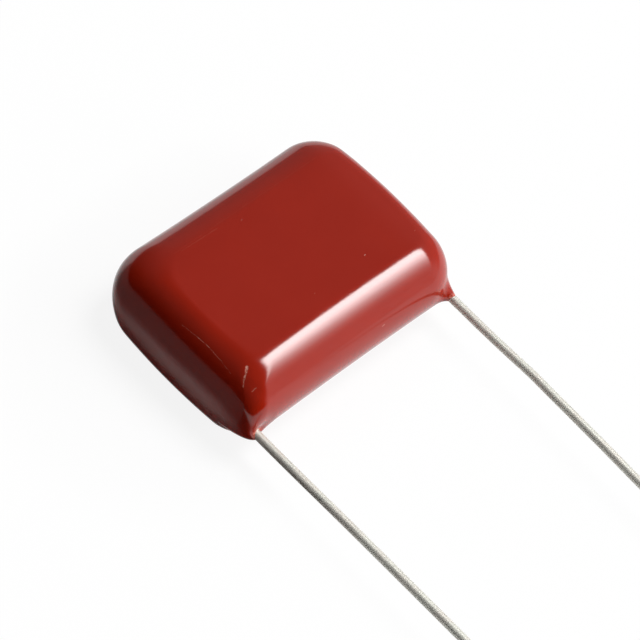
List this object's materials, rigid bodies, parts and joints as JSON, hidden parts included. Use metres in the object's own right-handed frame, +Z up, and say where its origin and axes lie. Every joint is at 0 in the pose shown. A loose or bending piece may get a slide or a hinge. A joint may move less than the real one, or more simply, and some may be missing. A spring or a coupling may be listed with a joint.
{
  "type": "film capacitor",
  "caption": "Flat film capacitor with a glossy dipped resin coating and straight parallel wire leads, for soldering into a circuit board.",
  "frame": {"origin": "midway between the two leads, on the flat broad face that the body lies on", "axes": "+X along the lead pitch towards lead_right, the leads point to -Y, +Z up through the thickness"},
  "size_m": [0.026, 0.0513, 0.0078],
  "materials": {
    "coating": "glossy red-brown dipped resin",
    "film": "satin, metallised film",
    "sprayed_metal": "matt grey sprayed zinc",
    "tinned_wire": "dull tin plating"
  },
  "bodies": {
    "root": {"coating": "coating", "winding": "film", "contact_left": "sprayed_metal", "contact_right": "sprayed_metal", "lead_left": "tinned_wire", "lead_right": "tinned_wire"}
  },
  "joints": []
}
